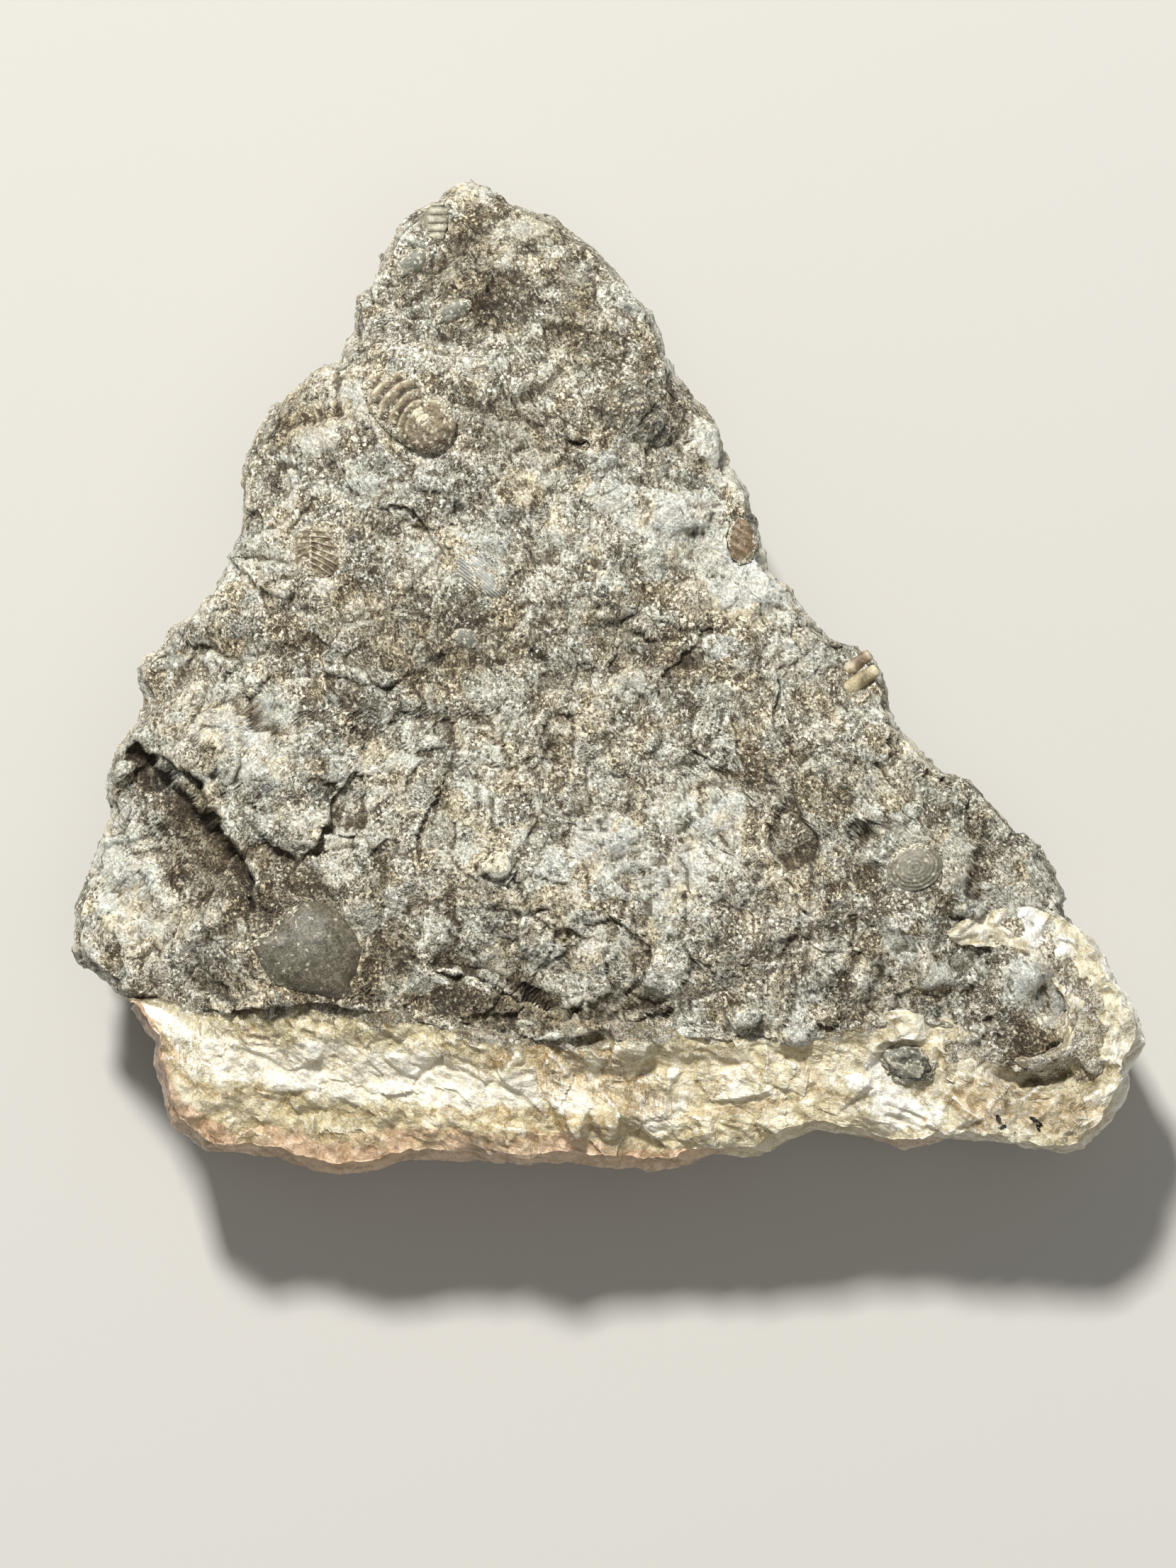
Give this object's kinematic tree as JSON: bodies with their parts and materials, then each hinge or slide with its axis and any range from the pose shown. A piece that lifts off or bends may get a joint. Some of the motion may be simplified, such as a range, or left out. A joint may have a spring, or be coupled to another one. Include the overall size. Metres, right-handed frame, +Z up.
{
  "type": "trilobite fossil",
  "caption": "Triangular hand specimen of grey-brown limestone with trilobite tails and a shell, and a cream calcite vein along one side. It lies on its back.",
  "frame": {"origin": "under the middle of the specimen's bounding box, on the surface it lies on", "axes": "+X along the calcite vein, +Y towards the tip of the triangle, +Z up, out of the fossil face"},
  "size_m": [0.1204, 0.1122, 0.0385],
  "materials": {
    "limestone": "rough broken grey-brown limestone with pale crystalline flecks",
    "calcite": "cream to amber crystalline calcite with bright cleavage faces",
    "trilobite": "smooth brown fossil shell, satin",
    "brachiopod": "smooth dark slate-grey fossil shell, satin",
    "shell": "smooth grey to bluish-white fossil shell, satin"
  },
  "bodies": {
    "root": {"limestone_matrix": "limestone", "calcite_vein": "calcite", "trilobite_tail": "trilobite", "small_tail_axis": "trilobite", "ribbed_fan": "trilobite", "edge_tail": "trilobite", "brachiopod_shell": "brachiopod", "thorax_bar_lower": "trilobite", "thorax_bar_upper": "trilobite", "curved_shell": "shell", "comma_shell": "shell", "shell_chip": "shell", "striated_shell": "shell", "disc_shell": "shell", "limestone_clast": "limestone"}
  },
  "joints": []
}
